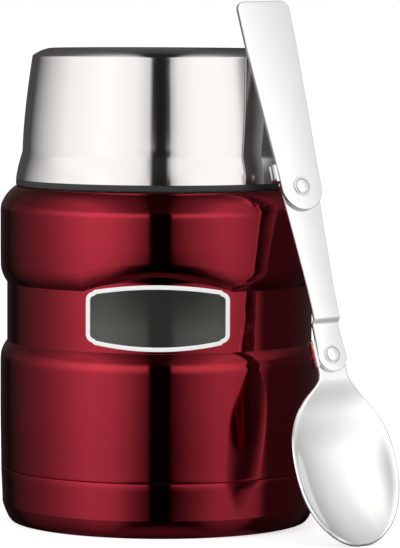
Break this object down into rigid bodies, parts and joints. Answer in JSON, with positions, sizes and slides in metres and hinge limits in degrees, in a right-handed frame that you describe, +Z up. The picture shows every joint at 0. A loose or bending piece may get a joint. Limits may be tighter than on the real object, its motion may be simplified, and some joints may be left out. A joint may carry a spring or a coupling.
{
  "type": "insulated food jar",
  "caption": "Double-walled steel food jar with a screw stopper, a screw-on steel lid that is also a bowl, and a folding spoon leaning on it.",
  "frame": {"origin": "middle of the foot, on the surface that the jar stands on", "axes": "+Z up along the jar's axis, -Y to the front with the badge, +X to the right"},
  "size_m": [0.1189, 0.1119, 0.157],
  "materials": {
    "red_coat": "translucent metallic coat over steel, gloss",
    "bare_steel": "drawn stainless steel, satin",
    "satin_steel": "fine satin stainless steel",
    "spoon_steel": "polished stainless steel",
    "rivet_steel": "pressed stainless steel",
    "black_plastic": "moulded polypropylene, fine matt",
    "badge_plate": "anodised plate, blank, with a pale border",
    "silicone": "moulded silicone",
    "foam": "closed-cell insulation foam",
    "getter_metal": "sintered metal pellet",
    "sealing_glass": "fused glass solder bead"
  },
  "bodies": {
    "jar": {"outer_shell": "red_coat", "base_cup": "red_coat", "inner_vessel": "bare_steel", "inner_bottom": "bare_steel", "vacuum_bottom": "bare_steel", "getter": "getter_metal", "seal_bead": "sealing_glass", "badge": "badge_plate"},
    "stopper_seal": {"stopper_seal": "silicone"},
    "stopper": {"stopper_body": "black_plastic", "stopper_cover": "black_plastic", "stopper_foam": "foam"},
    "lid_seal": {"lid_seal": "silicone"},
    "lid": {"lid_shell": "satin_steel", "lid_liner": "black_plastic"},
    "spoon_middle": {"spoon_middle": "spoon_steel", "upper_rivet": "rivet_steel", "lower_rivet": "rivet_steel"},
    "spoon_handle": {"spoon_handle": "spoon_steel"},
    "spoon_bowl": {"spoon_bowl": "spoon_steel"}
  },
  "joints": [
    {"name": "stopper_lift", "type": "slide", "parent": "jar", "child": "stopper_seal", "axis": [0, 0, 1], "range_m": [0, 0.06]},
    {"name": "stopper_turn", "type": "hinge", "parent": "stopper_seal", "child": "stopper", "pos_m": [0, 0, 0.112], "axis": [0, 0, 1], "range_deg": [0, 120]},
    {"name": "lid_lift", "type": "slide", "parent": "stopper_seal", "child": "lid_seal", "axis": [0, 0, 1], "range_m": [0, 0.055]},
    {"name": "lid_turn", "type": "hinge", "parent": "lid_seal", "child": "lid", "pos_m": [0, 0, 0.112], "axis": [0, 0, 1], "range_deg": [0, 120]},
    {"name": "spoon_lift", "type": "slide", "parent": "lid_seal", "child": "spoon_middle", "axis": [0, 0, 1], "range_m": [0, 0.1]},
    {"name": "handle_fold", "type": "hinge", "parent": "spoon_middle", "child": "spoon_handle", "pos_m": [0.04196, -0.03563, 0.10285], "axis": [-0.5132, 0.7903, -0.3346], "range_deg": [0, 180]},
    {"name": "bowl_fold", "type": "hinge", "parent": "spoon_middle", "child": "spoon_bowl", "pos_m": [0.05221, -0.04899, 0.05557], "axis": [0.5132, -0.7903, 0.3346], "range_deg": [0, 155]}
  ]
}
